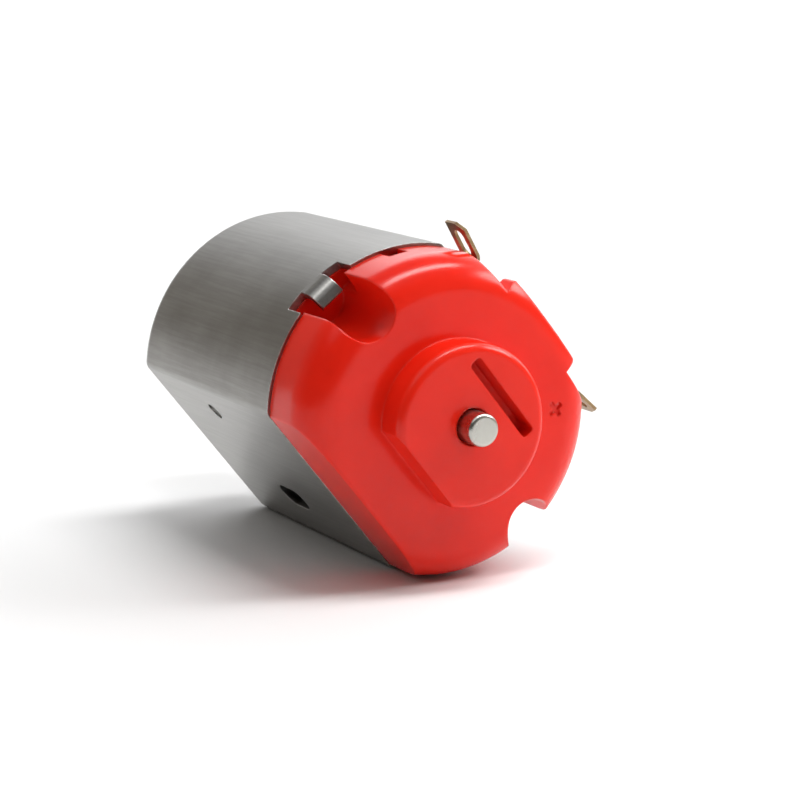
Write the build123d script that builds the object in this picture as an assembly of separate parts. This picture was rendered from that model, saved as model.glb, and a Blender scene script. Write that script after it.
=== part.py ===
from build123d import *
import math
import os

# Small brushed DC motor: flatted steel can, red moulded end cap, permanent magnets, three-pole rotor.
# Millimetres and degrees. Each piece is drawn upright, with the shaft on Z, the can's front face at
# height 0, the end cap on top and the two flats facing -Y and +Y. Then all pieces are laid down alike:
# shaft along Y with its drive end towards +Y, rolled so that the can rests on its round side, +Z up.

# Pose
lying_roll = 51.0

# Shared by several pieces
cut_overrun = 1.0
press_gap = 0.01
seat_gap = 0.02
running_gap = 0.03
end_play = 0.1

# Can
can_diameter = 20.1
can_flat_depth = 2.5
can_length = 19.3
can_wall = 0.5
can_corner_radius = 0.7
can_edge_radius = 1.0
nose_diameter = 6.15
nose_length = 1.7
nose_lip = 0.4
nose_opening_diameter = 3.6
nose_chamfer = 0.2
vent_length = 3.2
vent_width = 1.8
vent_offset = 3.0
vent_height = 10.5
pip_diameter = 1.2
pip_depth = 0.15
pip_offset = 4.28
pip_height = 8.5
relief_width = 4.2
relief_depth = 1.7
tab_width = 1.65
tab_knee_drop = 0.7
tab_reach = 1.05
tab_bend_angle = 60.0
tab_bend_radius = 0.9

# End cap
cap_inset = 0.2
cap_flat_inset = 0.05
cap_wall_height = 2.6
cap_shoulder_radius = 2.25
cap_edge_radius = 0.2
cap_plug_depth = 2.2
cap_face_thickness = 1.25
plug_wall = 2.83
cavity_flat_wall = 1.5
boss_diameter = 9.9
boss_height = 2.15
boss_flat_offset = 3.95
boss_edge_radius = 0.55
boss_slot_length = 6.0
boss_slot_width = 0.85
boss_slot_depth = 1.5
boss_slot_offset = 2.47
boss_slot_corner = 0.25
bore_recess_diameter = 2.3
bore_recess_depth = 0.35
bearing_pad_diameter = 4.4
bearing_pad_height = 0.3
tab_pocket_width = 3.4
tab_pocket_depth = 2.85
tab_pocket_shift = 0.2
tab_notch_depth = 1.2
pad_left_margin = 1.42
pad_right_margin = 1.87
pad_height = 1.0
pad_depth = 1.75
pad_edge_radius = 0.3
side_recess_depth = 0.45
side_recess_height = 1.3
side_recess_first_angle = 149.0
side_recess_last_angle = 156.0
mark_arm = 1.0
mark_width = 0.28
mark_depth = 0.15
mark_gap = 2.0
mark_angle = 51.5

# Terminals and brushes
terminal_thickness = 0.2
terminal_width = 2.0
terminal_rim_height = 0.9
terminal_corner_margin = 0.95
terminal_leg_tail = 0.5
terminal_bend_rise = 0.4
terminal_bend_radius = 0.4
terminal_reach = 2.52
terminal_splay = 9.5
terminal_slot_length = 1.8
terminal_slot_width = 1.0
terminal_slot_margin = 0.5
terminal_chamfer_along = 0.4
terminal_chamfer_across = 0.85
brush_thickness = 0.15
brush_width = 2.9
brush_root_margin = 0.4
brush_root_length = 1.0
brush_contact_y = 0.3
brush_tail_y = -1.8
brush_tail_flare = 0.35
brush_bend_radius = 0.6
brush_gap = 0.06
damper_length = 1.6
damper_width = 2.0
damper_thickness = 0.7

# Magnets and their spring
magnet_half_angle = 54.0
magnet_front = 2.6
magnet_rear_gap = 0.5
spring_wire_diameter = 0.8
spring_front_margin = 0.9
spring_rear_margin = 0.4
spring_bend_radius = 1.6

# Rotor
shaft_diameter = 2.0
shaft_front_reach = 9.4
shaft_rear_stub = 1.3
shaft_end_round = 0.25
bearing_length = 2.2
bearing_face_chamfer = 0.2
air_gap = 0.35
core_radius_share = 0.68
core_hub_share = 0.37
core_neck_share = 0.4
core_shoe_share = 0.1925
core_shoe_half_angle = 50.0
pole_count = 3
insulator_thickness = 0.5
coil_hub_gap = 0.35
coil_thickness = 1.5
coil_end_thickness = 1.4
coil_corner_radius = 1.1
coil_gap = 0.05
coil_clearance = 0.35
spacer_diameter = 3.2
spacer_length = 3.4
washer_diameter = 3.8
washer_thickness = 0.3
hub_diameter = 3.5
hub_flange_diameter = 7.2
hub_flange_thickness = 0.6
segment_thickness = 0.3
segment_length = 5.0
segment_gap_angle = 8.0
segment_rear_margin = 0.3
riser_reach = 3.9
riser_width = 1.0
retainer_thickness = 0.45
retainer_height = 0.6

# Worked out from the driving dimensions
can_radius = can_diameter / 2
flat_half = can_radius - can_flat_depth
bore_radius = can_radius - can_wall
bore_flat_half = flat_half - can_wall
cap_radius = can_radius - cap_inset
cap_flat_half = flat_half - cap_flat_inset
cap_corner_x = math.sqrt(cap_radius**2 - cap_flat_half**2)
plug_radius = bore_radius - seat_gap
plug_flat_half = bore_flat_half - seat_gap
cavity_radius = plug_radius - plug_wall
cavity_flat_half = cap_flat_half - cavity_flat_wall
tab_pocket_inner = can_radius - tab_pocket_depth
shoulder_start = cap_radius - cap_shoulder_radius
mark_radius = boss_diameter / 2 + mark_gap
wall_top = can_length + cap_wall_height
face_height = wall_top + cap_shoulder_radius
boss_top = face_height + boss_height
cavity_roof = face_height - cap_face_thickness
pad_face = cavity_roof - bearing_pad_height
plug_front = can_length - cap_plug_depth
pocket_floor = can_length - relief_depth
nose_radius = nose_diameter / 2
bearing_front = nose_lip - nose_length
bearing_rear = bearing_front + bearing_length
shaft_radius = shaft_diameter / 2
shaft_rear = boss_top + shaft_rear_stub
hub_rear = pad_face - end_play - washer_thickness
segment_radius = hub_diameter / 2 + segment_thickness
segment_front = hub_rear - segment_length
hub_flange_front = segment_front - hub_flange_thickness
spacer_front = bearing_rear + end_play + washer_thickness
core_front = spacer_front + spacer_length + insulator_thickness
coil_rear = hub_flange_front - coil_clearance
core_rear = coil_rear - coil_end_thickness - coil_gap - insulator_thickness
core_length = core_rear - core_front
core_radius = bore_radius * core_radius_share
magnet_radius = core_radius + air_gap
core_hub_radius = core_radius * core_hub_share
core_neck_width = core_radius * core_neck_share
core_shoe_thickness = core_radius * core_shoe_share
coil_inner = core_hub_radius + coil_hub_gap
magnet_rear = plug_front - magnet_rear_gap
terminal_low = can_length + terminal_rim_height
terminal_middle = terminal_low + terminal_width / 2
brush_middle = hub_rear - segment_rear_margin - brush_width / 2
pad_face_y = cap_flat_half + pad_height
pad_corner_x = math.sqrt(cap_radius**2 - pad_face_y**2)
pad_left = pad_corner_x - pad_left_margin
pad_right = pad_corner_x - pad_right_margin
terminal_leg_x = cap_corner_x - terminal_corner_margin
brush_root_x = terminal_leg_x - terminal_thickness / 2 - press_gap - brush_thickness / 2
brush_root_y = math.sqrt(cavity_radius**2 - brush_root_x**2) - brush_root_margin
brush_knee_y = brush_root_y - brush_root_length
terminal_leg_inner_y = brush_knee_y - terminal_leg_tail
bottom = (Align.CENTER, Align.CENTER, Align.MIN)


def flatted(radius, half, corner):
    """Circle cut by two flats, with the four corners rounded."""
    outline = Circle(radius) & Rectangle(2 * radius, 2 * half)
    return fillet(outline.vertices(), corner)


def rod(radius, low, high):
    return Pos(0, 0, low) * Cylinder(radius, high - low, align=bottom)


def ring(outer, inner, low, high):
    return Pos(0, 0, low) * extrude(Circle(outer) - Circle(inner), amount=high - low)


def block(x_low, x_high, y_low, y_high, z_low, z_high):
    size = Vector(x_high - x_low, y_high - y_low, z_high - z_low)
    low_corner = (Align.MIN, Align.MIN, Align.MIN)
    return Pos(x_low, y_low, z_low) * Box(size.X, size.Y, size.Z, align=low_corner)


def sector(outer, inner, first_angle, last_angle):
    """Flat ring segment between two angles."""
    middle = (first_angle + last_angle) / 2
    reach = 2 * outer
    corners = [(0, 0)]
    for angle in (first_angle, middle, last_angle):
        corners.append((reach * math.cos(math.radians(angle)), reach * math.sin(math.radians(angle))))
    wedge = make_face(Polyline(*corners, close=True))
    return (Circle(outer) - Circle(inner)) & wedge


def bent_strip(points, bend_radius, thickness, width):
    """Sheet strip whose middle line lies flat and whose width stands upright."""
    path = FilletPolyline(*points, radius=bend_radius)
    start = Plane(origin=path @ 0, x_dir=(0, 0, 1), z_dir=path % 0)
    return sweep(start * Rectangle(width, thickness), path=path)


def can_tab():
    """Tongue that rises from the rim at +X and is bent in over the end cap."""
    middle = can_radius - can_wall / 2
    knee = can_length - tab_knee_drop
    lean = math.radians(tab_bend_angle)
    foot = (middle, 0, can_length - relief_depth)
    tip = (middle - tab_reach * math.sin(lean), 0, knee + tab_reach * math.cos(lean))
    path = FilletPolyline(foot, (middle, 0, knee), tip, radius=tab_bend_radius)
    start = Plane(origin=foot, x_dir=(0, 1, 0), z_dir=(0, 0, 1))
    return sweep(start * Rectangle(tab_width, can_wall), path=path)


def can():
    shell = extrude(flatted(can_radius, flat_half, can_corner_radius), amount=can_length)
    shell = fillet(shell.edges().group_by(Axis.Z)[0], can_edge_radius)
    hollow = flatted(bore_radius, bore_flat_half, can_corner_radius - can_wall)
    hollow = Pos(0, 0, can_wall) * extrude(hollow, amount=can_length)
    hollow = fillet(hollow.edges().group_by(Axis.Z)[0], can_edge_radius - can_wall)
    nose = rod(nose_radius, -nose_length, can_wall)
    nose = chamfer(nose.edges().group_by(Axis.Z)[0], nose_chamfer)
    shell = shell - hollow + nose
    shell -= rod(nose_radius - can_wall, bearing_front, can_wall + cut_overrun)
    shell -= rod(nose_opening_diameter / 2, -nose_length - cut_overrun, cut_overrun)
    vent_plane = Plane(origin=(vent_offset, 0, vent_height), x_dir=(0, 0, 1), z_dir=(0, -1, 0))
    vent = extrude(vent_plane * SlotOverall(vent_length, vent_width), amount=can_radius)
    relief = block(
        0, can_radius + cut_overrun, -relief_width / 2, relief_width / 2,
        can_length - relief_depth, can_length + cut_overrun,
    )
    for turn in (0, 180):
        half_turn = Rotation(0, 0, turn)
        shell -= half_turn * vent
        shell -= half_turn * relief
        shell += half_turn * can_tab()
    pip = Plane(origin=(-pip_offset, -flat_half, pip_height), z_dir=(0, 1, 0))
    shell += pip.offset(can_wall) * Cylinder(pip_diameter / 2, pip_depth, align=bottom)
    return shell - pip * Cylinder(pip_diameter / 2, pip_depth, align=bottom)


def cap_dome():
    """Upright wall and rounded shoulder above the rim, all round."""
    outline = Polyline((0, face_height), (0, can_length), (cap_radius, can_length), (cap_radius, wall_top))
    shoulder = CenterArc((shoulder_start, wall_top), cap_shoulder_radius, 0, 90)
    top = Line((shoulder_start, face_height), (0, face_height))
    return revolve(Plane.XZ * make_face(outline + shoulder + top), Axis.Z)


def edges_above_rim(faces):
    """Every edge of the faces but those that lie on the can's rim."""
    heights = faces.edges().group_by(Axis.Z)
    return [edge for level in heights[1:] for edge in level]


def cap_flange():
    """The dome cut by two flats, with a low wall along its face between the terminals."""
    top = face_height + cut_overrun
    dome = cap_dome()
    flange = dome & block(-can_radius, can_radius, -cap_flat_half, cap_flat_half, can_length, top)
    flange = fillet(edges_above_rim(flange.faces().filter_by(Axis.Y)), cap_edge_radius)
    pad_rear = face_height - pad_depth
    pad = dome & block(-pad_left, pad_right, cap_flat_half - cut_overrun, pad_face_y, pad_rear, top)
    return flange + fillet(pad.faces().sort_by(Axis.Y)[-1].edges(), pad_edge_radius)


def cap_boss():
    """Round boss with a rounded edge, cut by one flat that keeps its edge sharp."""
    radius = boss_diameter / 2
    boss = rod(radius, cavity_roof, boss_top)
    boss = fillet(boss.edges().group_by(Axis.Z)[-1], boss_edge_radius)
    return boss - block(-radius, radius, -boss_diameter, -boss_flat_offset, face_height, boss_top)


def tab_pocket():
    """Scoop at +X that takes one bent can tab."""
    half = tab_pocket_width / 2
    centre = tab_pocket_inner + half
    top = face_height + cut_overrun
    outside = can_radius + cut_overrun
    scoop = Pos(centre, 0, 0) * rod(half, pocket_floor, top)
    scoop += block(centre, outside, -half, half, pocket_floor, top)
    side = relief_width / 2
    step = plug_radius - tab_notch_depth
    return Pos(0, -tab_pocket_shift, 0) * scoop + block(step, outside, -side, side, pocket_floor, can_length)


def terminal_slit():
    """Slot through the +Y flat, open towards the can, that holds the -X terminal's leg."""
    half = terminal_thickness / 2 + seat_gap
    top = terminal_low + terminal_width + seat_gap
    inner = terminal_leg_inner_y
    return block(-terminal_leg_x - half, -terminal_leg_x + half, inner, can_radius, plug_front, top)


def side_recess():
    """Shallow dip in the cap's wall, beside the -X tab."""
    floor = cap_radius - side_recess_depth
    shape = sector(can_radius + cut_overrun, floor, side_recess_first_angle, side_recess_last_angle)
    return Pos(0, 0, can_length) * extrude(shape, amount=side_recess_height)


def polarity_mark():
    """Shallow plus sign beside the boss, at the +X terminal."""
    past = max(mark_radius - shoulder_start, 0)
    surface = wall_top + math.sqrt(cap_shoulder_radius**2 - past**2)
    plus = Rectangle(mark_arm, mark_width) + Rectangle(mark_width, mark_arm)
    turn = math.radians(mark_angle)
    place = Pos(mark_radius * math.cos(turn), mark_radius * math.sin(turn), surface - mark_depth)
    return place * extrude(plus, amount=mark_depth + cut_overrun)


def end_cap():
    plug = flatted(plug_radius, plug_flat_half, can_corner_radius - can_wall)
    body = Pos(0, 0, plug_front) * extrude(plug, amount=cap_plug_depth)
    body += cap_flange()
    body += cap_boss()
    cavity = Circle(cavity_radius) & Rectangle(2 * cavity_radius, 2 * cavity_flat_half)
    body -= Pos(0, 0, plug_front) * extrude(cavity, amount=cavity_roof - plug_front)
    body += rod(bearing_pad_diameter / 2, pad_face, cavity_roof)
    body -= rod(shaft_radius + running_gap, plug_front, boss_top + cut_overrun)
    body -= rod(bore_recess_diameter / 2, boss_top - bore_recess_depth, boss_top + cut_overrun)
    slot = RectangleRounded(boss_slot_length, boss_slot_width, boss_slot_corner)
    slot_floor = boss_top - boss_slot_depth
    body -= Pos(0, boss_slot_offset, slot_floor) * extrude(slot, amount=boss_slot_depth + cut_overrun)
    for cut in (tab_pocket(), terminal_slit(), side_recess()):
        body -= cut
        body -= mirror(cut, about=Plane.YZ)
    return body - polarity_mark()


def terminal():
    """Solder tag at the -X side: a leg held in the end cap, bent out past the flat's end."""
    lean = math.radians(terminal_splay)
    along = Vector(-math.cos(lean), math.sin(lean), 0)
    bend = Vector(-terminal_leg_x, cap_flat_half + terminal_bend_rise, terminal_middle)
    tip = bend + along * terminal_reach
    foot = Vector(-terminal_leg_x, terminal_leg_inner_y + seat_gap, terminal_middle)
    strip = bent_strip((foot, bend, tip), terminal_bend_radius, terminal_thickness, terminal_width)
    tag = Plane(origin=tip, x_dir=-along, z_dir=(-along).cross(Vector(0, 0, 1)))
    slot_centre = terminal_slot_margin + terminal_slot_length / 2
    slot = Pos(slot_centre, 0) * SlotOverall(terminal_slot_length, terminal_slot_width)
    strip -= extrude(tag * slot, amount=cut_overrun, both=True)
    edge = terminal_width / 2
    inward = edge - terminal_chamfer_across
    corner = make_face(Polyline((0, inward), (terminal_chamfer_along, edge), (0, edge), close=True))
    return strip - extrude(tag * corner, amount=cut_overrun, both=True)


def brush_points():
    """Middle line of the leaf brush at the -X side, from its root on the terminal to its free tail."""
    contact_x = -segment_radius - brush_gap - brush_thickness / 2
    return [
        Vector(-brush_root_x, brush_root_y, brush_middle),
        Vector(-brush_root_x, brush_knee_y, brush_middle),
        Vector(contact_x, brush_contact_y, brush_middle),
        Vector(contact_x - brush_tail_flare, brush_tail_y, brush_middle),
    ]


def brush():
    return bent_strip(brush_points(), brush_bend_radius, brush_thickness, brush_width)


def brush_damper():
    """Soft pad on the outer side of the leaf's sloping stretch."""
    knee, contact = brush_points()[1:3]
    along = (contact - knee).normalized()
    outward = along.cross(Vector(0, 0, 1))
    seat = (knee + contact) / 2 + outward * (brush_thickness / 2 + press_gap)
    plane = Plane(origin=seat, x_dir=along, z_dir=outward)
    return extrude(plane * Rectangle(damper_length, damper_width), amount=damper_thickness)


def magnet():
    """Arc magnet at the +X side."""
    arc = sector(plug_radius, magnet_radius, -magnet_half_angle, magnet_half_angle)
    arc &= Rectangle(can_diameter, 2 * plug_flat_half)
    return Pos(0, 0, magnet_front) * extrude(arc, amount=magnet_rear - magnet_front)


def magnet_spring():
    """Wire clip behind the +Y flat that spreads the two magnets."""
    wire = spring_wire_diameter / 2
    lean = math.radians(magnet_half_angle)
    leg_y = plug_flat_half - wire
    leg_x = (leg_y * math.cos(lean) - wire - seat_gap) / math.sin(lean)
    front = magnet_front + spring_front_margin
    rear = magnet_rear - spring_rear_margin
    route = [(-leg_x, leg_y, front), (-leg_x, leg_y, rear), (leg_x, leg_y, rear), (leg_x, leg_y, front)]
    path = FilletPolyline(*route, radius=spring_bend_radius)
    return sweep(Plane(origin=path @ 0, z_dir=path % 0) * Circle(wire), path=path)


def front_bearing():
    outer = nose_radius - can_wall - press_gap
    bush = ring(outer, shaft_radius + running_gap, bearing_front + press_gap, bearing_rear)
    outer_rims = bush.edges().filter_by(GeomType.CIRCLE).sort_by(SortBy.RADIUS)[-2:]
    return chamfer(outer_rims, bearing_face_chamfer)


def shaft():
    bar = rod(shaft_radius, -shaft_front_reach, shaft_rear)
    return fillet(bar.edges().filter_by(GeomType.CIRCLE), shaft_end_round)


def core_outline():
    """Three-pole lamination: hub, necks and pole shoes round the shaft."""
    shoe_inner = core_radius - core_shoe_thickness
    shoe = sector(core_radius, shoe_inner, -core_shoe_half_angle, core_shoe_half_angle)
    neck_end = core_radius - core_shoe_thickness / 2
    neck = Rectangle(neck_end, core_neck_width, align=(Align.MIN, Align.CENTER))
    outline = Circle(core_hub_radius)
    for pole in range(pole_count):
        outline += Rotation(0, 0, pole * 360 / pole_count) * (shoe + neck)
    return outline - Circle(shaft_radius + press_gap)


def armature_core():
    return Pos(0, 0, core_front) * extrude(core_outline(), amount=core_length)


def core_insulator(low):
    return Pos(0, 0, low) * extrude(core_outline(), amount=insulator_thickness - press_gap)


def coil(pole):
    """Winding round one pole's neck, as one rounded body."""
    low = core_front - insulator_thickness - coil_gap
    high = core_rear + insulator_thickness + coil_gap
    front = low - coil_end_thickness
    inner_half = core_neck_width / 2 + coil_gap
    outer_half = inner_half + coil_thickness
    reach = core_radius - core_shoe_thickness - coil_gap
    winding = block(coil_inner, reach, -outer_half, outer_half, front, coil_rear)
    winding = fillet(winding.edges().filter_by(Axis.X), coil_corner_radius)
    winding &= rod(reach, front, coil_rear)
    winding -= block(0, reach + cut_overrun, -inner_half, inner_half, low, high)
    return Rotation(0, 0, pole * 360 / pole_count) * winding


def shaft_spacer():
    return ring(spacer_diameter / 2, shaft_radius + press_gap, spacer_front, spacer_front + spacer_length)


def shaft_washer(low):
    return ring(washer_diameter / 2, shaft_radius + press_gap, low, low + washer_thickness - press_gap)


def commutator_hub():
    hole = shaft_radius + press_gap
    hub = ring(hub_diameter / 2, hole, core_rear + insulator_thickness, hub_rear - press_gap)
    return hub + ring(hub_flange_diameter / 2, hole, hub_flange_front, segment_front)


def commutator_segment(pole):
    """Copper segment with a riser lug for the winding's end."""
    half = 180 / pole_count - segment_gap_angle / 2
    arc = sector(segment_radius, hub_diameter / 2 + press_gap, -half, half)
    segment = Pos(0, 0, segment_front + press_gap) * extrude(arc, amount=segment_length - press_gap)
    lug_start = segment_radius - segment_thickness / 2
    lug = block(
        lug_start, riser_reach, -riser_width / 2, riser_width / 2,
        segment_front + press_gap, segment_front + segment_thickness,
    )
    return Rotation(0, 0, (pole + 0.5) * 360 / pole_count) * (segment + lug)


def commutator_ring():
    low = segment_front + segment_thickness + press_gap
    inner = segment_radius + press_gap
    return ring(inner + retainer_thickness, inner, low, low + retainer_height)


def all_pieces():
    pieces = {
        "can": can(),
        "front_bearing": front_bearing(),
        "end_cap": end_cap(),
        "magnet_spring": magnet_spring(),
        "shaft": shaft(),
        "armature_core": armature_core(),
        "front_insulator": core_insulator(core_front - insulator_thickness),
        "rear_insulator": core_insulator(core_rear + press_gap),
        "shaft_spacer": shaft_spacer(),
        "front_washer": shaft_washer(bearing_rear + end_play),
        "rear_washer": shaft_washer(hub_rear),
        "commutator_hub": commutator_hub(),
        "commutator_ring": commutator_ring(),
    }
    handed = {"terminal": terminal(), "brush": brush(), "brush_damper": brush_damper()}
    for name, piece in handed.items():
        pieces[name + "_left"] = piece
        pieces[name + "_right"] = mirror(piece, about=Plane.YZ)
    pieces["magnet_right"] = magnet()
    pieces["magnet_left"] = Rotation(0, 0, 180) * magnet()
    for pole, letter in enumerate("abc"):
        pieces["coil_" + letter] = coil(pole)
        pieces["commutator_segment_" + letter] = commutator_segment(pole)
    return pieces


lay_down = Rotation(0, lying_roll, 0) * Rotation(90, 0, 0)
os.makedirs("parts", exist_ok=True)
for piece_name, piece_shape in all_pieces().items():
    export_step(lay_down * piece_shape, f"parts/{piece_name}.step")
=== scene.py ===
import math
import bpy
import mathutils
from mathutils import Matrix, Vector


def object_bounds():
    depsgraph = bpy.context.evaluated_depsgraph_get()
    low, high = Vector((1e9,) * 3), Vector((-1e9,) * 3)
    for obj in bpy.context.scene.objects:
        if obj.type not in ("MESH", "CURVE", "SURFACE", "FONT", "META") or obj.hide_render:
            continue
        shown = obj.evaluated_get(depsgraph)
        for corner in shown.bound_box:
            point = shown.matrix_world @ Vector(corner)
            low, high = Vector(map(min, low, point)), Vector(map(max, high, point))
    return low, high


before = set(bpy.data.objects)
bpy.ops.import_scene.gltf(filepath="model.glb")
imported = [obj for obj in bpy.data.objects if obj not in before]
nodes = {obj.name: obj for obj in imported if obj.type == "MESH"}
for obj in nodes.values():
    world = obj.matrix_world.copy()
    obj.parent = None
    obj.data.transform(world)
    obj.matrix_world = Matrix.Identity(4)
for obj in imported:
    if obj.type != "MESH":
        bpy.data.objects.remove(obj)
cadLow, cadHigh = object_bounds()  # box of the solids, before anything is added
bpy.ops.object.select_all(action="DESELECT")
print("frame loaded,", len(nodes), "pieces")


# effects that several finishes share

def startGroup(name, inputs, output):
    tree = bpy.data.node_groups.new(name, "ShaderNodeTree")
    for label, kind in inputs.items():
        tree.interface.new_socket(label, in_out="INPUT", socket_type="NodeSocket" + kind)
    tree.interface.new_socket(output, in_out="OUTPUT", socket_type="NodeSocketFloat")
    return tree, tree.nodes.new("NodeGroupInput"), tree.nodes.new("NodeGroupOutput")


def addNode(tree, kind, **values):
    node = tree.nodes.new(kind)
    for label, value in values.items():
        setattr(node, label, value)
    return node


def noiseNode(tree, look):
    noise = addNode(tree, "ShaderNodeTexNoise")
    noise.inputs["Detail"].default_value = look["detail"]
    noise.inputs["Roughness"].default_value = look["roughness"]
    return noise


def rangeNode(tree, low, high):  # 0 at low, 1 at high, smooth between them
    spread = addNode(tree, "ShaderNodeMapRange", interpolation_type="SMOOTHSTEP")
    spread.inputs["From Min"].default_value = low
    spread.inputs["From Max"].default_value = high
    return spread


lineShape = {"detail": 3.0, "roughness": 0.6, "spread": (0.3, 0.7)}


def makeDrawLines():  # fine lines, as drawing, rolling and grinding leave them
    tree, start, end = startGroup(
        "drawLines", {"Vector": "Vector", "Scale": "Float", "Stretch": "Vector"}, "Lines")
    stretched = addNode(tree, "ShaderNodeVectorMath", operation="MULTIPLY")
    noise = noiseNode(tree, lineShape)
    spread = rangeNode(tree, *lineShape["spread"])
    tree.links.new(start.outputs["Vector"], stretched.inputs[0])
    tree.links.new(start.outputs["Stretch"], stretched.inputs[1])
    tree.links.new(stretched.outputs["Vector"], noise.inputs["Vector"])
    tree.links.new(start.outputs["Scale"], noise.inputs["Scale"])
    tree.links.new(noise.outputs["Fac"], spread.inputs["Value"])
    tree.links.new(spread.outputs["Result"], end.inputs["Lines"])
    return tree


patchShape = {"detail": 4.0, "roughness": 0.55, "spread": (0.32, 0.68)}


def makePatches():  # broad uneven tone
    tree, start, end = startGroup("patches", {"Vector": "Vector", "Scale": "Float"}, "Patch")
    noise = noiseNode(tree, patchShape)
    spread = rangeNode(tree, *patchShape["spread"])
    tree.links.new(start.outputs["Vector"], noise.inputs["Vector"])
    tree.links.new(start.outputs["Scale"], noise.inputs["Scale"])
    tree.links.new(noise.outputs["Fac"], spread.inputs["Value"])
    tree.links.new(spread.outputs["Result"], end.inputs["Patch"])
    return tree


gritShape = {"detail": 2.0, "roughness": 0.5}


def makeGrit():  # fine surface height
    tree, start, end = startGroup("grit", {"Vector": "Vector", "Scale": "Float"}, "Height")
    noise = noiseNode(tree, gritShape)
    tree.links.new(start.outputs["Vector"], noise.inputs["Vector"])
    tree.links.new(start.outputs["Scale"], noise.inputs["Scale"])
    tree.links.new(noise.outputs["Fac"], end.inputs["Height"])
    return tree


rowShape = {"half": 0.5, "crown": (0.0, 0.45)}  # shares of a row's pitch


def makeRows():  # even rows one on the other: turns of wire, stamped sheets
    tree, start, end = startGroup(
        "rows", {"Vector": "Vector", "Along": "Vector", "Pitch": "Float"}, "Height")
    along = addNode(tree, "ShaderNodeVectorMath", operation="DOT_PRODUCT")
    count = addNode(tree, "ShaderNodeMath", operation="DIVIDE")
    swing = addNode(tree, "ShaderNodeMath", operation="PINGPONG")
    swing.inputs[1].default_value = rowShape["half"]
    crown = rangeNode(tree, *rowShape["crown"])
    tree.links.new(start.outputs["Vector"], along.inputs[0])
    tree.links.new(start.outputs["Along"], along.inputs[1])
    tree.links.new(along.outputs["Value"], count.inputs[0])
    tree.links.new(start.outputs["Pitch"], count.inputs[1])
    tree.links.new(count.outputs["Value"], swing.inputs[0])
    tree.links.new(swing.outputs["Value"], crown.inputs["Value"])
    tree.links.new(crown.outputs["Result"], end.inputs["Height"])
    return tree


edgeRubAndHighlightShape = {  # turn is how far the surface still faces its own way, from the face to the edge
    "samples": 4, "turn": (0.97, 0.75),
    "scale": 1500.0, "detail": 3.0, "roughness": 0.6, "broken": (0.35, 0.6),
}


def makeEdgeRubAndHighlight():  # lighter along edges: partly rubbed by handling, partly a painted highlight
    tree, start, end = startGroup("edgeRubAndHighlight", {"Vector": "Vector", "Radius": "Float"}, "Edge")
    bevel = addNode(tree, "ShaderNodeBevel", samples=edgeRubAndHighlightShape["samples"])
    surface = addNode(tree, "ShaderNodeNewGeometry")
    alike = addNode(tree, "ShaderNodeVectorMath", operation="DOT_PRODUCT")
    spread = rangeNode(tree, *edgeRubAndHighlightShape["turn"])
    noise = noiseNode(tree, edgeRubAndHighlightShape)
    noise.inputs["Scale"].default_value = edgeRubAndHighlightShape["scale"]
    broken = rangeNode(tree, *edgeRubAndHighlightShape["broken"])
    both = addNode(tree, "ShaderNodeMath", operation="MULTIPLY")
    tree.links.new(start.outputs["Radius"], bevel.inputs["Radius"])
    tree.links.new(bevel.outputs["Normal"], alike.inputs[0])
    tree.links.new(surface.outputs["True Normal"], alike.inputs[1])
    tree.links.new(alike.outputs["Value"], spread.inputs["Value"])
    tree.links.new(start.outputs["Vector"], noise.inputs["Vector"])
    tree.links.new(noise.outputs["Fac"], broken.inputs["Value"])
    tree.links.new(spread.outputs["Result"], both.inputs[0])
    tree.links.new(broken.outputs["Result"], both.inputs[1])
    tree.links.new(both.outputs["Value"], end.inputs["Edge"])
    return tree


effects = {
    "drawLines": makeDrawLines(),
    "patches": makePatches(),
    "grit": makeGrit(),
    "rows": makeRows(),
    "edgeRubAndHighlight": makeEdgeRubAndHighlight(),
}
print("effects made:", ", ".join(effects))


# finishes

def placeEffect(tree, name, place, **values):
    node = addNode(tree, "ShaderNodeGroup", node_tree=effects[name])
    tree.links.new(place, node.inputs["Vector"])
    for label, value in values.items():
        node.inputs[label].default_value = value
    return node.outputs[0]


def blendColours(tree, share, first, second):
    mix = addNode(tree, "ShaderNodeMix", data_type="RGBA")
    tree.links.new(share, mix.inputs["Factor"])
    for socket, value in ((mix.inputs["A"], first), (mix.inputs["B"], second)):
        if isinstance(value, tuple):
            socket.default_value = (*value, 1.0)
        else:
            tree.links.new(value, socket)
    return mix.outputs["Result"]


def blendValues(tree, share, first, second):
    mix = addNode(tree, "ShaderNodeMix", data_type="FLOAT")
    tree.links.new(share, mix.inputs["Factor"])
    mix.inputs["A"].default_value = first
    mix.inputs["B"].default_value = second
    return mix.outputs["Result"]


def scaleShare(tree, share, amount):
    times = addNode(tree, "ShaderNodeMath", operation="MULTIPLY")
    tree.links.new(share, times.inputs[0])
    times.inputs[1].default_value = amount
    return times.outputs["Value"]


softSamples = 6  # of a moulded or rolled edge


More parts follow.
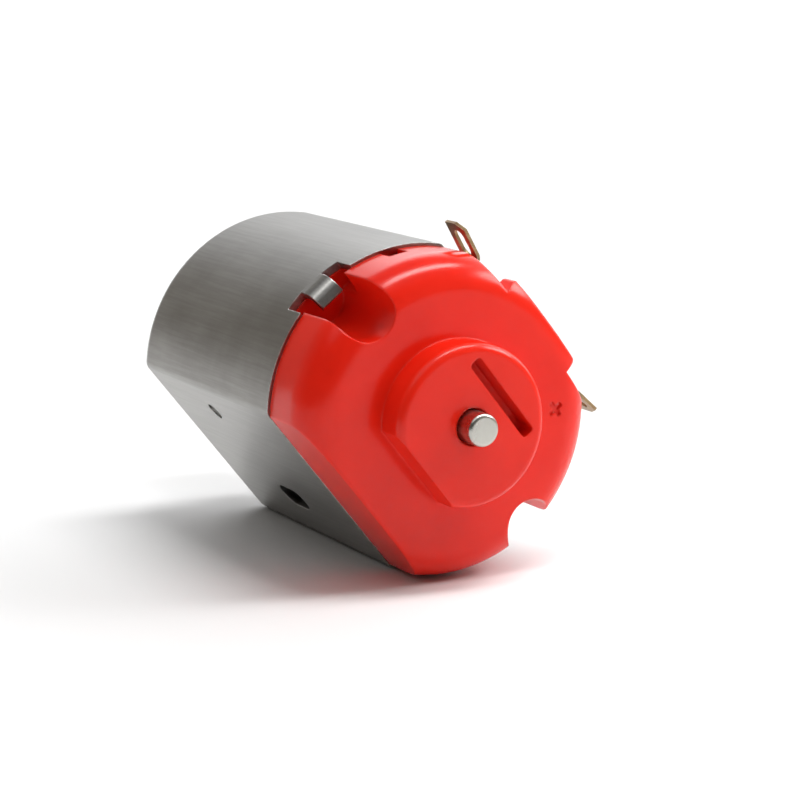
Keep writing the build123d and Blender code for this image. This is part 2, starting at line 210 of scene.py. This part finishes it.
def makeFinish(name, look):
    finish = bpy.data.materials.new(name)
    finish.use_nodes = True
    tree = finish.node_tree
    shader = tree.nodes["Principled BSDF"]
    place = addNode(tree, "ShaderNodeTexCoord").outputs["Object"]
    patch = placeEffect(tree, "patches", place, Scale=look["patchScale"])
    tone = blendColours(tree, patch, look["dark"], look["light"])
    if "lineScale" in look:
        lines = placeEffect(
            tree, "drawLines", place, Scale=look["lineScale"], Stretch=look["lineStretch"])
        share = scaleShare(tree, lines, look["lineShare"])
        tone = blendColours(tree, share, tone, look["lineTone"])
        height = lines
    elif "rowPitch" in look:
        height = placeEffect(tree, "rows", place, Pitch=look["rowPitch"], Along=look["rowAlong"])
        tone = blendColours(tree, height, look["rowGap"], tone)
    else:
        height = placeEffect(tree, "grit", place, Scale=look["gritScale"])
    # painted highlight along the edges, partly rub from handling, mixed into the colour
    if "edgeRubAndHighlightTone" in look:
        edge = placeEffect(tree, "edgeRubAndHighlight", place, Radius=look["edgeRadius"])
        share = scaleShare(tree, edge, look["edgeShare"])
        tone = blendColours(tree, share, tone, look["edgeRubAndHighlightTone"])
    tree.links.new(tone, shader.inputs["Base Color"])
    tree.links.new(blendValues(tree, patch, *look["rough"]), shader.inputs["Roughness"])
    bump = addNode(tree, "ShaderNodeBump")
    bump.inputs["Strength"].default_value = look["bumpStrength"]
    bump.inputs["Distance"].default_value = look["bumpDepth"]
    tree.links.new(height, bump.inputs["Height"])
    tree.links.new(bump.outputs["Normal"], shader.inputs["Normal"])
    if "softEdge" in look:  # moulded and rolled edges are never sharp
        soft = addNode(tree, "ShaderNodeBevel", samples=softSamples)
        soft.inputs["Radius"].default_value = look["softEdge"]
        tree.links.new(soft.outputs["Normal"], bump.inputs["Normal"])
    if "grain" in look:  # highlights stretch across the drawn lines
        across = addNode(tree, "ShaderNodeTangent", direction_type="RADIAL", axis=look["grain"])
        tree.links.new(across.outputs["Tangent"], shader.inputs["Tangent"])
    shader.inputs["Metallic"].default_value = look["metallic"]
    for label, value in look.get("sockets", {}).items():
        shader.inputs[label].default_value = value
    return finish


def dress(name, look, *pieces):
    finish = makeFinish(name, look)
    for piece in pieces:
        mesh = nodes[piece].data
        mesh.materials.clear()
        mesh.materials.append(finish)
    print("finish", name, "on", ", ".join(pieces))


canSteel = {  # plated sheet steel, drawn deep, satin
    "dark": (0.29, 0.282, 0.269), "light": (0.365, 0.358, 0.344), "metallic": 1.0,
    "patchScale": 200.0, "rough": (0.29, 0.35),
    "lineScale": 5200.0, "lineStretch": (1.0, 0.035, 1.0),
    "lineShare": 0.35, "lineTone": (0.205, 0.196, 0.183),
    # edge tone: a painted highlight along the rims, partly rubbed plating
    "edgeRubAndHighlightTone": (0.78, 0.775, 0.76), "edgeRadius": 0.00015, "edgeShare": 0.8,
    "bumpStrength": 0.12, "bumpDepth": 0.00001, "grain": "Y", "softEdge": 0.00008,
    "sockets": {"Anisotropic": 0.8},
}
dress("canSteel", canSteel, "can")

redMoulding = {  # glossy polymer, a little light goes in
    "dark": (0.76, 0.015, 0.005), "light": (0.83, 0.020, 0.007), "metallic": 0.0,
    "patchScale": 140.0, "rough": (0.17, 0.21), "gritScale": 2600.0,
    # edge tone: a painted highlight, lighter red along the edges
    "edgeRubAndHighlightTone": (0.93, 0.12, 0.075), "edgeRadius": 0.00015, "edgeShare": 0.12, "softEdge": 0.00020,
    "bumpStrength": 0.06, "bumpDepth": 0.00001,
    "sockets": {
        "Subsurface Weight": 0.12, "Subsurface Radius": (1.0, 0.12, 0.06), "Subsurface Scale": 0.0010,
        "Specular IOR Level": 0.30,
    },
}
dress("redMoulding", redMoulding, "end_cap")

tagBrass = {  # stamped strip, dulled
    "dark": (0.24, 0.145, 0.07), "light": (0.44, 0.31, 0.17), "metallic": 1.0,
    "patchScale": 700.0, "rough": (0.28, 0.45),
    "lineScale": 9000.0, "lineStretch": (1.0, 0.1, 1.0),
    "lineShare": 0.35, "lineTone": (0.20, 0.115, 0.055),
    # edge tone: a painted highlight along the edges, partly rubbed brass
    "edgeRubAndHighlightTone": (0.86, 0.74, 0.52), "edgeRadius": 0.00008, "edgeShare": 0.7,
    "bumpStrength": 0.15, "bumpDepth": 0.000008,
}
dress("tagBrass", tagBrass, "terminal_left", "terminal_right")

brushBronze = {  # rolled spring strip
    "dark": (0.50, 0.28, 0.13), "light": (0.66, 0.42, 0.22), "metallic": 1.0,
    "patchScale": 600.0, "rough": (0.25, 0.38),
    "lineScale": 9000.0, "lineStretch": (1.0, 0.1, 1.0),
    "lineShare": 0.3, "lineTone": (0.40, 0.21, 0.10),
    "bumpStrength": 0.12, "bumpDepth": 0.000006,
}
dress("brushBronze", brushBronze, "brush_left", "brush_right")

damperRubber = {
    "dark": (0.022, 0.022, 0.022), "light": (0.05, 0.048, 0.046), "metallic": 0.0,
    "patchScale": 900.0, "rough": (0.7, 0.9), "gritScale": 9000.0,
    "bumpStrength": 0.4, "bumpDepth": 0.00003,
}
dress("damperRubber", damperRubber, "brush_damper_left", "brush_damper_right")

bushBronze = {  # sintered and oiled, so darker in the pores
    "dark": (0.33, 0.20, 0.09), "light": (0.60, 0.42, 0.21), "metallic": 1.0,
    "patchScale": 5200.0, "rough": (0.45, 0.32), "gritScale": 12000.0,
    "bumpStrength": 0.35, "bumpDepth": 0.00002,
}
dress("bushBronze", bushBronze, "front_bearing")

magnetFerrite = {
    "dark": (0.045, 0.044, 0.045), "light": (0.095, 0.092, 0.09), "metallic": 0.0,
    "patchScale": 1100.0, "rough": (0.6, 0.8), "gritScale": 11000.0,
    "bumpStrength": 0.35, "bumpDepth": 0.00002,
}
dress("magnetFerrite", magnetFerrite, "magnet_left", "magnet_right")

clipWire = {  # drawn spring wire
    "dark": (0.30, 0.30, 0.31), "light": (0.46, 0.46, 0.47), "metallic": 1.0,
    "patchScale": 500.0, "rough": (0.28, 0.4),
    "lineScale": 9000.0, "lineStretch": (1.0, 0.05, 1.0),
    "lineShare": 0.4, "lineTone": (0.2, 0.2, 0.21),
    "bumpStrength": 0.15, "bumpDepth": 0.000008,
}
dress("clipWire", clipWire, "magnet_spring")

shaftSteel = {  # ground all over, so the lines run round it
    "dark": (0.49, 0.48, 0.445), "light": (0.56, 0.55, 0.505), "metallic": 1.0,
    "patchScale": 500.0, "rough": (0.25, 0.31),
    "lineScale": 2600.0, "lineStretch": (0.2, 4.0, 0.2),
    "lineShare": 0.25, "lineTone": (0.34, 0.33, 0.30),
    "bumpStrength": 0.1, "bumpDepth": 0.000006,
}
dress("shaftSteel", shaftSteel, "shaft")

coreSteel = {  # edges of thin stampings, one on the other along the shaft
    "dark": (0.26, 0.25, 0.245), "light": (0.42, 0.41, 0.40), "metallic": 1.0,
    "patchScale": 500.0, "rough": (0.32, 0.5),
    "rowPitch": 0.0004, "rowAlong": (0.0, 1.0, 0.0), "rowGap": (0.06, 0.058, 0.055),
    "bumpStrength": 0.6, "bumpDepth": 0.00005,
}
dress("coreSteel", coreSteel, "armature_core")

pressedFibre = {
    "dark": (0.40, 0.10, 0.055), "light": (0.55, 0.17, 0.10), "metallic": 0.0,
    "patchScale": 1500.0, "rough": (0.65, 0.8), "gritScale": 7000.0,
    "bumpStrength": 0.3, "bumpDepth": 0.00003,
}
dress("pressedFibre", pressedFibre, "front_insulator", "rear_insulator")

enamelWire = {  # each turn lies flat round its pole, one outside the other
    "dark": (0.50, 0.17, 0.06), "light": (0.72, 0.32, 0.14), "metallic": 1.0,
    "patchScale": 900.0, "rough": (0.2, 0.32),
    "rowPitch": 0.00024, "rowGap": (0.16, 0.04, 0.012),
    "bumpStrength": 0.8, "bumpDepth": 0.00008,
    "sockets": {"Coat Weight": 0.6, "Coat Roughness": 0.15},
}
poles = {"lean": 51.0, "apart": 120.0}  # degrees round the shaft, at rest
for number, letter in enumerate("ABC"):
    lean = math.radians(poles["lean"] - poles["apart"] * number)
    outwards = (math.cos(lean), 0.0, -math.sin(lean))
    dress("enamelWire" + letter, {**enamelWire, "rowAlong": outwards}, "coil_" + letter.lower())

turnedBrass = {
    "dark": (0.52, 0.38, 0.16), "light": (0.70, 0.55, 0.28), "metallic": 1.0,
    "patchScale": 600.0, "rough": (0.22, 0.34),
    "lineScale": 2600.0, "lineStretch": (0.2, 4.0, 0.2),
    "lineShare": 0.4, "lineTone": (0.42, 0.29, 0.11),
    "bumpStrength": 0.15, "bumpDepth": 0.000008,
}
dress("turnedBrass", turnedBrass, "shaft_spacer")

washerFibre = {
    "dark": (0.36, 0.29, 0.19), "light": (0.52, 0.44, 0.31), "metallic": 0.0,
    "patchScale": 1500.0, "rough": (0.55, 0.75), "gritScale": 8000.0,
    "bumpStrength": 0.3, "bumpDepth": 0.00002,
}
dress("washerFibre", washerFibre, "front_washer", "rear_washer")

hubMoulding = {
    "dark": (0.030, 0.024, 0.020), "light": (0.06, 0.048, 0.042), "metallic": 0.0,
    "patchScale": 800.0, "rough": (0.42, 0.6), "gritScale": 7000.0,
    "bumpStrength": 0.2, "bumpDepth": 0.00002,
}
dress("hubMoulding", hubMoulding, "commutator_hub", "commutator_ring")

segmentCopper = {  # turned copper, the lines round it; the track where the brushes run is not made brighter
    "dark": (0.52, 0.22, 0.10), "light": (0.78, 0.42, 0.24), "metallic": 1.0,
    "patchScale": 700.0, "rough": (0.2, 0.36),
    "lineScale": 2600.0, "lineStretch": (0.2, 4.0, 0.2),
    "lineShare": 0.4, "lineTone": (0.36, 0.14, 0.06),
    "bumpStrength": 0.2, "bumpDepth": 0.00001,
}
segments = ["commutator_segment_" + letter for letter in "abc"]
dress("segmentCopper", segmentCopper, *segments)


# table, light and camera

table = {"size": 12.0, "colour": (0.80, 0.80, 0.80, 1.0), "roughness": 0.9, "specular": 0.1}


def makeTable():
    bpy.ops.mesh.primitive_plane_add(size=table["size"], location=(0, 0, cadLow.z))
    top = bpy.context.object
    top.name = "table"
    paper = bpy.data.materials.new("whitePaper")
    paper.use_nodes = True
    shader = paper.node_tree.nodes["Principled BSDF"]
    shader.inputs["Base Color"].default_value = table["colour"]
    shader.inputs["Roughness"].default_value = table["roughness"]
    shader.inputs["Specular IOR Level"].default_value = table["specular"]
    top.data.materials.append(paper)


room = {  # dim warm walls and a long lamp overhead, its middle and half sizes as slopes from upright
    "wall": (0.285, 0.262, 0.230), "lamp": (17.0, 17.0, 17.0),
    "lampMiddle": (0.26, -0.165), "lampHalf": (0.38, 0.10), "lampSoft": 0.07,
    "lowest": 0.05,  # no slope is taken below this height
}
panes = [  # light and dark parts of the room by bearing and height in degrees, each over the one before
    {"side": 23.5, "height": 15.5, "edge": (0.80, 0.96), "light": (0.86, 0.865, 0.875)},
    {"side": 232.0, "height": 18.0, "edge": (0.35, 0.80), "light": (0.08, 0.076, 0.072)},
    {"side": 60.0, "height": 45.0, "edge": (0.69, 0.87), "light": (2.75, 2.77, 2.80)},
    {"side": 0.0, "height": 90.0, "edge": (0.60, 0.85), "light": (0.38, 0.38, 0.38)},
    {"side": 252.0, "height": 62.0, "edge": (0.89, 0.97), "light": (1.05, 1.05, 1.05)},
]


def roomShare(tree, value, edge):  # fades from 0 to 1 between the edge's two values
    share = rangeNode(tree, *edge)
    tree.links.new(value, share.inputs["Value"])
    return share.outputs["Result"]


def lampShare(tree, along, height, middle, half):  # 1 within the lamp's length or width, 0 past it
    slope = addNode(tree, "ShaderNodeMath", operation="DIVIDE")
    away = addNode(tree, "ShaderNodeMath", operation="SUBTRACT")
    away.inputs[1].default_value = middle
    apart = addNode(tree, "ShaderNodeMath", operation="ABSOLUTE")
    tree.links.new(along, slope.inputs[0])
    tree.links.new(height, slope.inputs[1])
    tree.links.new(slope.outputs["Value"], away.inputs[0])
    tree.links.new(away.outputs["Value"], apart.inputs[0])
    edge = (half + room["lampSoft"], half - room["lampSoft"])
    return roomShare(tree, apart.outputs["Value"], edge)


def paneShare(tree, place, pane):  # 1 towards the pane's middle, 0 past its edge
    side, high = math.radians(pane["side"]), math.radians(pane["height"])
    towards = addNode(tree, "ShaderNodeVectorMath", operation="DOT_PRODUCT")
    towards.inputs[1].default_value = (
        math.sin(side) * math.cos(high), math.cos(side) * math.cos(high), math.sin(high))
    tree.links.new(place, towards.inputs[0])
    return roomShare(tree, towards.outputs["Value"], pane["edge"])


def makeRoom():
    world = bpy.data.worlds.new("room")
    world.use_nodes = True
    tree = world.node_tree
    place = addNode(tree, "ShaderNodeTexCoord").outputs["Generated"]
    apart = addNode(tree, "ShaderNodeSeparateXYZ")
    height = addNode(tree, "ShaderNodeMath", operation="MAXIMUM")
    height.inputs[1].default_value = room["lowest"]
    both = addNode(tree, "ShaderNodeMath", operation="MULTIPLY")
    tree.links.new(place, apart.inputs["Vector"])
    tree.links.new(apart.outputs["Z"], height.inputs[0])
    for number, axis in enumerate("XY"):
        middle, half = room["lampMiddle"][number], room["lampHalf"][number]
        share = lampShare(tree, apart.outputs[axis], height.outputs["Value"], middle, half)
        tree.links.new(share, both.inputs[number])
    light = room["wall"]
    for pane in panes:
        light = blendColours(tree, paneShare(tree, place, pane), light, pane["light"])
    light = blendColours(tree, both.outputs["Value"], light, room["lamp"])
    tree.links.new(light, tree.nodes["Background"].inputs["Color"])
    bpy.context.scene.world = world


deskLamp = {
    "place": (0.037, -0.040, 0.030), "aim": (0.0, -0.022, 0.0), "size": 0.02, "power": 0.0105,
}


def makeDeskLamp():  # small and close, so the cap is brighter on this side
    bpy.ops.object.light_add(type="AREA", location=deskLamp["place"])
    lamp = bpy.context.object
    lamp.name = "deskLamp"
    lamp.data.shape = "DISK"
    lamp.data.size = deskLamp["size"]
    lamp.data.energy = deskLamp["power"]
    lamp.visible_camera = False
    towards = mathutils.Vector(deskLamp["aim"]) - lamp.location
    lamp.rotation_euler = towards.to_track_quat("-Z", "Y").to_euler()


shot = {
    "place": (-0.0700400, -0.1470364, 0.0283449), "turn": (79.142, -0.260, -28.299),
    "lens": 109.625, "sensor": 36.0, "nearest": 0.005,
}


def makeCamera():
    turn = [math.radians(angle) for angle in shot["turn"]]
    bpy.ops.object.camera_add(location=shot["place"], rotation=turn)
    camera = bpy.context.object
    camera.data.lens = shot["lens"]
    camera.data.sensor_width = shot["sensor"]
    camera.data.clip_start = shot["nearest"]
    bpy.context.scene.camera = camera


makeTable()
makeRoom()
makeDeskLamp()
makeCamera()
bpy.context.scene.view_settings.view_transform = "Standard"
print("table, light and camera set")
